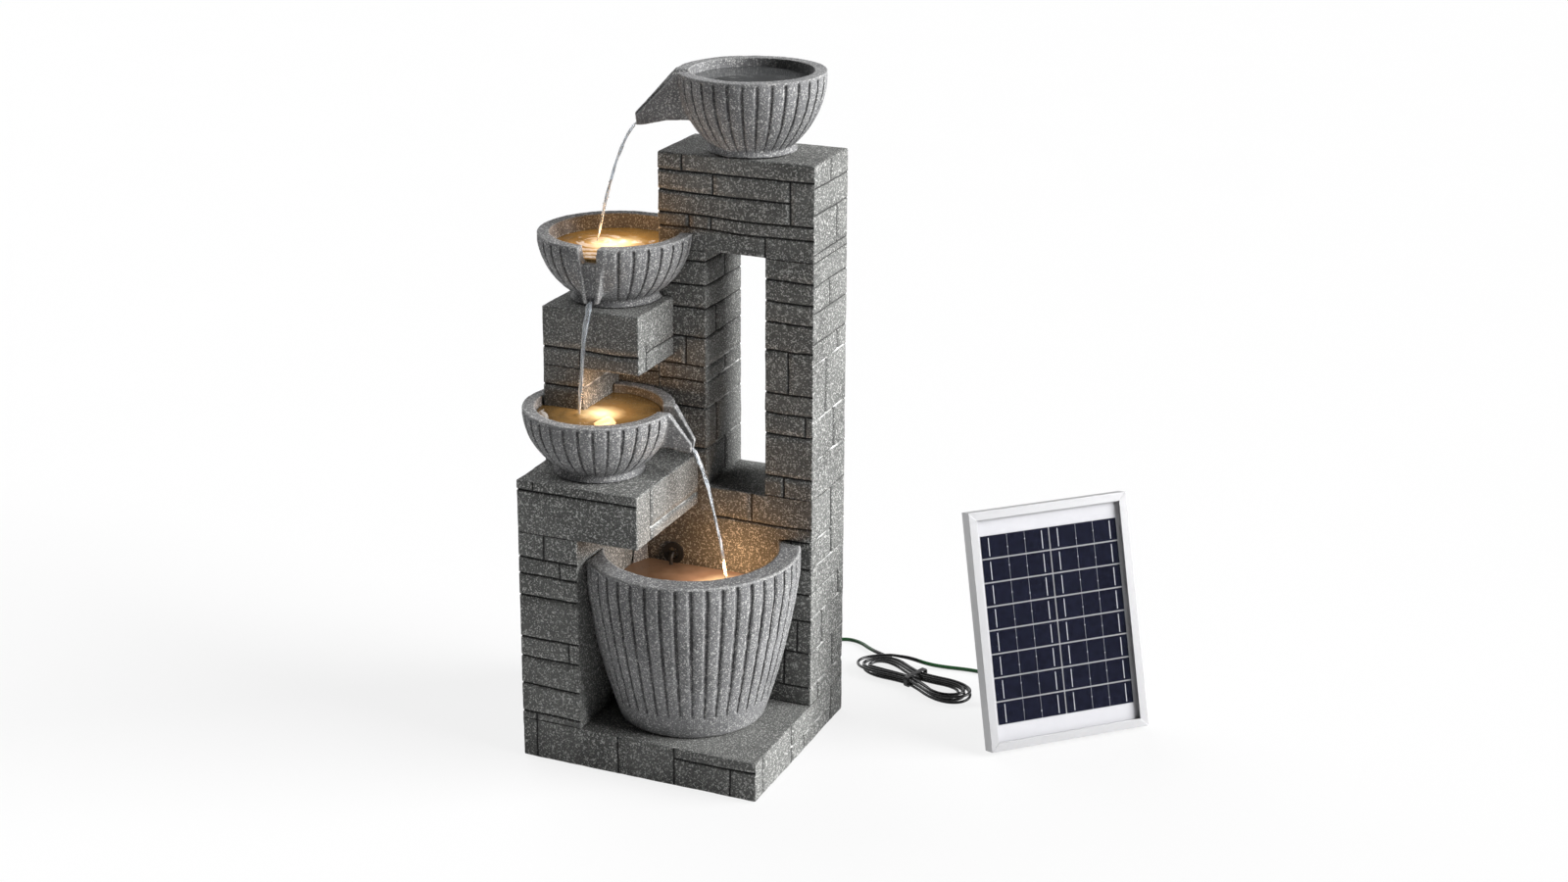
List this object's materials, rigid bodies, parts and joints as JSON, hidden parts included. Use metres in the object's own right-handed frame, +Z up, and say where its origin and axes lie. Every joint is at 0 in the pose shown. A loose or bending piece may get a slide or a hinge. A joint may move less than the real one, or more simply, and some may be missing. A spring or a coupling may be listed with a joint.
{
  "type": "solar cascading fountain",
  "caption": "Stone-look tower fountain whose fluted spouted bowls spill into a basin, fed by a pump, with a separate tilted solar panel on a folding stand and a coiled cord.",
  "frame": {"origin": "centre of the plinth's underside, on the ground", "axes": "+Z up, -Y the basin's side of the tower, +X towards the solar panel"},
  "size_m": [0.6207, 0.4299, 0.719],
  "materials": {
    "cast_stone": "rough cast resin stone",
    "bowl_stone": "rough cast resin stone",
    "hatch_plastic": "matt",
    "black_plastic": "satin",
    "rotor": "satin",
    "black_rubber": "matt",
    "hose": "satin",
    "lens": "gloss",
    "lead": "satin",
    "frame_aluminium": "anodised",
    "glass": "clear",
    "backsheet": "satin",
    "cells": "silicon under glass",
    "box_plastic": "satin",
    "board": "satin",
    "button": "gloss",
    "battery_wrap": "gloss",
    "rod_steel": "plated",
    "cord_black": "gloss",
    "cord_green": "satin"
  },
  "bodies": {
    "fountain": {"plinth": "cast_stone", "left_pier": "cast_stone", "lower_ledge": "cast_stone", "left_column": "cast_stone", "upper_ledge": "cast_stone", "rear_wall": "cast_stone", "rear_column": "cast_stone", "left_pillar": "cast_stone", "right_pillar": "cast_stone", "lintel": "cast_stone", "top_bowl": "bowl_stone", "second_bowl": "bowl_stone", "third_bowl": "bowl_stone", "basin_pot": "bowl_stone", "pump_body": "black_plastic", "lead_junction": "black_plastic", "tower_gland": "black_plastic", "panel_gland": "black_plastic", "cable_grommet": "black_rubber", "pump_feet": "black_rubber", "riser_hose": "hose", "outlet_nozzle": "black_plastic", "second_light_housing": "black_plastic", "second_light_lens": "lens", "second_light_lead": "lead", "third_light_housing": "black_plastic", "third_light_lens": "lens", "third_light_lead": "lead", "basin_light_housing": "black_plastic", "basin_light_lens": "lens", "basin_light_lead": "lead", "pump_lead": "lead", "panel_frame_bottom": "frame_aluminium", "panel_frame_right": "frame_aluminium", "panel_frame_top": "frame_aluminium", "panel_frame_left": "frame_aluminium", "panel_glass": "glass", "panel_backsheet": "backsheet", "solar_cells": "cells", "control_box": "box_plastic", "control_box_lid": "box_plastic", "circuit_board": "board", "batteries": "battery_wrap", "stand_rail": "frame_aluminium", "hinge_clips": "box_plastic", "cord_hank": "cord_black", "hank_tie": "black_plastic", "cord_tower_run": "cord_green", "cord_panel_run": "cord_green"},
    "hatch": {"rear_hatch": "hatch_plastic"},
    "rotor": {"pump_rotor": "rotor"},
    "inlet_cover": {"pump_inlet_cover": "black_plastic"},
    "dial": {"flow_dial": "black_plastic"},
    "leg": {"stand_leg": "rod_steel", "leg_tips": "black_rubber"},
    "button": {"power_button": "button"}
  },
  "joints": [
    {"name": "hatch_slide", "type": "slide", "parent": "fountain", "child": "hatch", "axis": [0, 1, 0], "range_m": [0, 0.06]},
    {"name": "rotor_spin", "type": "hinge", "parent": "fountain", "child": "rotor", "pos_m": [-0.0175, -0.013, 0.085], "axis": [0, 1, 0], "continuous": true},
    {"name": "inlet_cover_slide", "type": "slide", "parent": "fountain", "child": "inlet_cover", "axis": [0, -1, 0], "range_m": [0, 0.016]},
    {"name": "flow_dial_turn", "type": "hinge", "parent": "inlet_cover", "child": "dial", "pos_m": [-0.0175, -0.046, 0.1], "axis": [0, -1, 0], "range_deg": [0, 270]},
    {"name": "stand_fold", "type": "hinge", "parent": "fountain", "child": "leg", "pos_m": [0.33205, 0.20199, 0.19312], "axis": [-0.7193, -0.6947, 0], "range_deg": [0, 26]},
    {"name": "button_press", "type": "slide", "parent": "fountain", "child": "button", "axis": [0.6643, -0.6879, 0.2924], "range_m": [0, 0.0015], "stiffness_N_per_m": 400, "springref_m": -0.001}
  ]
}
